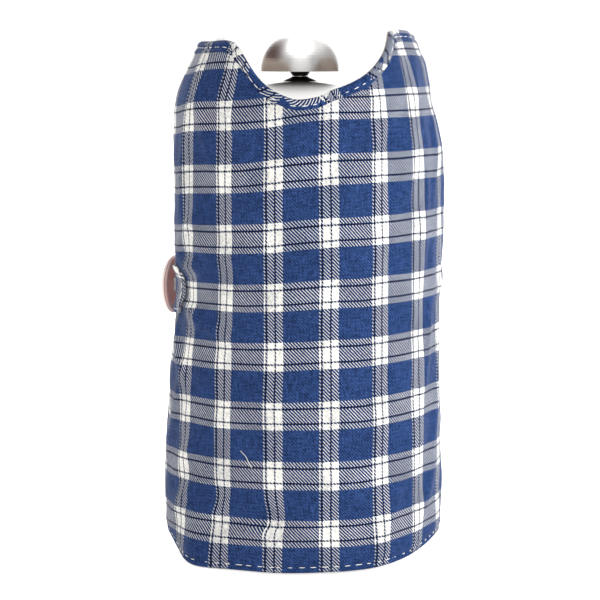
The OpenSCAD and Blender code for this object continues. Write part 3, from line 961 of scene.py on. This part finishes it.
class MakePlunger(PressOperator):
    """Finish the rod and the filter, and wind the coil round the filter's edge"""

    bl_idname = "press.make_plunger"
    bl_label = "Plunger"

    def make(self, scene):
        rod = polished_steel("rod_steel")
        plate = pressed_steel("filter_steel")
        for node in ("plunger_rod", "rod_collar", "filter_nut"):
            dress(node, rod)
        for node in ("spiral_plate", "cross_plate"):
            dress(node, plate)
        dress("mesh_screen", wire_mesh("wire_mesh"))
        low, high = node_box("coil_spring")
        coil_r = (high[2] - low[2]) / 2
        ring_r = (high[0] - low[0]) / 2 - coil_r
        around = np.linspace(0, 2 * math.pi, COIL_TURNS * COIL_STEPS, endpoint=False)
        wound = around * COIL_TURNS
        radius = ring_r + (coil_r - COIL_WIRE) * np.cos(wound)
        level = (low[2] + high[2]) / 2 + (coil_r - COIL_WIRE) * np.sin(wound)
        path = np.stack([radius * np.cos(around), radius * np.sin(around), level], axis=-1) * MM
        points, faces = tube(path, COIL_WIRE * MM, 6, closed=True)
        coil = new_piece("edge_coil", make_mesh("edge_coil", points, faces), "plunger")
        dress(coil, rod)
        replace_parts(coil, "coil_spring")


class MakeKnob(PressOperator):
    """Finish the knob's steel dome, its black core and its brass insert"""

    bl_idname = "press.make_knob"
    bl_label = "Knob"

    def make(self, scene):
        dress("knob_dome", spun_steel("spun_steel"))
        dress("knob_core", moulded_black("core_plastic"))
        dress("knob_insert", turned_brass("turned_brass"))


class MakeCover(PressOperator):
    """Sew the padded cover: outer cloth, wadding, lining and topstitching"""

    bl_idname = "press.make_cover"
    bl_label = "Cover"

    def make(self, scene):
        settings = scene.press_cover
        columns, rows = ((300, 200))
        shape = CoverShape(columns, rows, settings)
        cloth = self.sheet("cover_cloth", shape, 0, settings.cloth, "plaid_cloth", shape.from_edge < 1e-6)
        dress(cloth, plaid(scene.press_plaid, "plaid_cloth"), lining_cloth("cloth_underside"))
        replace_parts(cloth, "cover_outer", "cover_shoulders")

        coarse = CoverShape(150, 100, settings)
        depth = settings.thickness
        border = coarse.from_edge < 1e-6
        lining = self.sheet("cover_inside", coarse, depth - 0.6, depth, "lining_cloth", border)
        dress(lining, lining_cloth("lining_outside"), lining_cloth("lining_cloth"))
        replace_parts(lining, "cover_lining")

        core = CoverShape(90, 60, settings, inset=EDGE_ROUND)
        wadding = self.sheet("cover_padding", core, settings.cloth + 0.1, depth - 0.7, "wadding")
        dress(wadding, wadding_felt("wadding_felt"), wadding_felt("wadding_inside"))
        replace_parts(wadding, "cover_wadding")
        self.sew(settings)

    @staticmethod
    def sheet(name, shape, outer, inner, slot, joined=None):
        """A layer of the cover between two depths."""
        mesh = shell(name, shape.layer(outer), shape.layer(inner), shape.weave(), joined=joined)
        return new_piece(name, mesh, "pot")

    def sew(self, settings):
        thread = sewing_thread("sewing_thread")
        angles = np.linspace(-SLOT_EDGE + 3, SLOT_EDGE - 3, 900)
        top = smooth(TOP_EDGE, angles)
        slope = np.gradient(top, arc_mm(angles))
        level = top - settings.seam_inset * np.sqrt(1 + slope ** 2)
        path = self.on_cover(settings, angles, level, TURNED_STEP)
        thread_piece("neckline_stitches", stitch_row(*path, settings), thread)
        path = self.on_cover(settings, angles, HEM_Z + smooth(HEM_RISE, angles) + HEM_SEAM)
        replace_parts(thread_piece("hem_stitches", stitch_row(*path, settings), thread), "hem_thread")

    @staticmethod
    def on_cover(settings, angles, heights, proud=0.0):
        """Points and outward normals just on the cover's outside, along the pinch of a seam."""
        half = settings.thickness / 2

        def at(a, h):
            uneven = ripple(arc_mm(a), h) * settings.seam_inset / CALM_EDGE
            return round_axis(cover_radius(a, h) - half + uneven + half * 0.66 + proud, a, h)

        path = at(angles, heights)
        round_it, up = at(angles + 0.2, heights) - path, at(angles, heights + 0.2) - path
        normals = np.cross(round_it, up)
        return path, normals / np.linalg.norm(normals, axis=1)[:, None]


class MakeStrap(PressOperator):
    """Make the closure strap with its buttonhole and stitching"""

    bl_idname = "press.make_strap"
    bl_label = "Strap"

    def make(self, scene):
        low, high = STRAP_ENDS
        half = np.array(STRAP_ROWS)
        up = np.concatenate([-half[::-1], half])[:, None].repeat(STRAP_COLUMNS, axis=1)
        # the free end is rounded
        reach = high - STRAP_TIP * (1 - np.sqrt(np.clip(1 - up ** 2, 0, 1)))
        angle = low + (reach - low) * np.linspace(0, 1, STRAP_COLUMNS)[None, :]
        wrapped = np.where(angle > 180, angle - 360, angle)
        height = STRAP_Z + up * STRAP_W / 2 + STRAP_RISE * np.clip((angle - 252) / 40, 0, 1) ** 2
        on_cover = cover_radius(wrapped, height) + 0.25
        chord = STRAP_CHORD * math.cos(math.radians(180 - SLOT_EDGE)) / np.cos(np.radians(angle - 180))
        free = np.clip((180 - SLOT_EDGE + 3 - np.abs(angle - 180)) / 6, 0, 1)
        radius = on_cover + (chord - on_cover) * free
        from_side = (1 - np.abs(up)) * STRAP_W / 2
        from_end = np.minimum(angle - low, reach - angle) * math.pi / 180 * HEM_R
        edge = np.minimum(from_side, from_end)
        swell = np.sqrt(np.clip(1 - (1 - np.clip(edge / STRAP_THICK, 0, 1)) ** 2, 0.02, 1))
        seam = bell((edge - STRAP_SEAM) / 0.6) * 0.25
        left = angle[:-1, :-1]
        slot = (np.abs(up[:-1, 1:] + up[1:, 1:]) < 0.01) & (left > BUTTONHOLE[0]) & (left < BUTTONHOLE[1])
        weave = np.stack([height + STRAP_WEAVE[0], arc_mm(angle) + STRAP_WEAVE[1], 0 * height], axis=-1)
        thick = STRAP_THICK / 2
        outside = round_axis(radius + (thick + thick * swell * (1 - seam)), angle, height)
        inside = round_axis(radius + (thick - thick * swell), angle, height)
        strap = new_piece("strap", shell("strap", outside, inside, weave, keep=~slot), "pot")
        dress(strap, plaid(scene.press_plaid, "strap_plaid"), lining_cloth("strap_back"))
        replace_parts(strap, "closure_strap")
        self.sew(scene.press_cover, outside, angle, up)

    @staticmethod
    def sew(settings, outside, angle, up):
        """Edge stitching, a square where the strap is sewn down, and close stitches round the buttonhole."""
        inset = 1 - STRAP_SEAM / (STRAP_W / 2)
        row = int(np.argmin(np.abs(up[:, 0] - inset)))
        mirror = len(up) - 1 - row
        start, end, square = 3, -4, int(np.argmin(np.abs(angle[0] - STRAP_SQUARE)))
        lines = [outside[row, start:end], outside[mirror:row + 1, end], outside[mirror, start:end][::-1],
                 outside[mirror:row + 1, start], outside[mirror:row + 1, square]]
        centre = np.array([AXIS_X * MM, 0, STRAP_Z * MM])
        thread = sewing_thread("strap_thread")
        for number, line in enumerate(lines):
            out = line - centre
            out[:, 2] = 0
            out /= np.linalg.norm(out, axis=1)[:, None]
            thread_piece(f"strap_stitches_{number}", stitch_row(line, out, settings), thread)
        parts, middle = [], len(up) // 2
        for column in range(*np.searchsorted(angle[0], (BUTTONHOLE[0] - 0.5, BUTTONHOLE[1] + 0.5))):
            for side in (-1, 1):
                inner, outer = middle - (side < 0), middle + 2 * side - (side < 0)
                first, last = outside[inner, column], outside[outer, column]
                normal = np.array([first[0] - AXIS_X * MM, first[1], 0])
                parts.append(capsule(first, last, normal / np.linalg.norm(normal), 0.0003, 0.0003, 5, 5))
        thread_piece("buttonhole_stitches", parts, thread)


class MakeLooseThreads(PressOperator):
    """Add the frayed corner, the fuzz on the shoulders' edges and a stray thread"""

    bl_idname = "press.make_loose_threads"
    bl_label = "Loose threads"

    def make(self, scene):
        draw = random.Random(41)
        hairs = []
        for angle in np.linspace(*FRAYED, FRAYED_HAIRS):
            hairs.append((angle, float(smooth(TOP_EDGE, angle)) - 0.6, 1.6 + draw.random() * 1.4))
        for _ in range(EDGE_HAIRS):
            angle = draw.choice((-1, 1)) * draw.uniform(10, 120)
            hairs.append((angle, float(smooth(TOP_EDGE, angle)) - 0.5, 0.6 + draw.random() * 0.8))
        parts = [tube(self.hair(*hair, draw), HAIR_RADIUS, 4) for hair in hairs]
        thread_piece("edge_fuzz", parts, sewing_thread("fuzz"))
        steps = np.linspace(0, 1, 14)
        angles, heights = -27 + 5.5 * steps + 0.5 * np.sin(steps * 5), 49.5 - 6.5 * steps
        path, normals = MakeCover.on_cover(scene.press_cover, angles, heights)
        stray = tube(path + normals * 0.0007, STRAY_RADIUS, 5)
        thread_piece("stray_thread", [stray], sewing_thread("stray"))

    @staticmethod
    def hair(angle, height, length, draw):
        """A short fibre that stands up out of the cloth's edge and bends."""
        turn = math.radians(angle)
        radius = float(cover_radius(np.array(angle), np.array(height))) - HAIR_DEPTH
        root = np.array([AXIS_X + radius * math.sin(turn), -radius * math.cos(turn), height])
        lean = np.array([draw.uniform(-0.7, 0.7), draw.uniform(-0.7, 0.7), 1.0])
        bend = np.array([draw.uniform(-0.5, 0.5), draw.uniform(-0.5, 0.5), -0.2])
        steps = np.linspace(0, 1, 5)[:, None]
        return (root + lean * steps * length + bend * steps ** 2 * length) * MM


class MakeButton(PressOperator):
    """Finish the button and the thread that holds it"""

    bl_idname = "press.make_button"
    bl_label = "Button"

    def make(self, scene):
        dress("button", horn("brown_horn"))
        dress("button_thread", sewing_thread("button_sewing"))


STEPS = (MakeStage, MakePot, MakeLid, MakePlunger, MakeKnob, MakeCover, MakeStrap, MakeLooseThreads,
         MakeButton)


class PressPanel(bpy.types.Panel):
    """Lists the steps that dress the press"""

    bl_idname = "VIEW3D_PT_coffee_press"
    bl_label = "Coffee Press"
    bl_space_type = "VIEW_3D"
    bl_region_type = "UI"
    bl_category = PANEL_TAB

    def draw(self, context):
        for step in STEPS:
            self.layout.operator(step.bl_idname)


def register():
    for name, group in SETTINGS.items():
        bpy.utils.register_class(group)
        setattr(bpy.types.Scene, name, bpy.props.PointerProperty(type=group))
    for step in (*STEPS, PressPanel):
        bpy.utils.register_class(step)


def unregister():
    for step in (*STEPS, PressPanel):
        bpy.utils.unregister_class(step)
    for name, group in SETTINGS.items():
        delattr(bpy.types.Scene, name)
        bpy.utils.unregister_class(group)


def main():
    register()
    for step in STEPS:
        family, action = step.bl_idname.split(".")
        getattr(getattr(bpy.ops, family), action)()


if __name__ == "__main__":
    main()
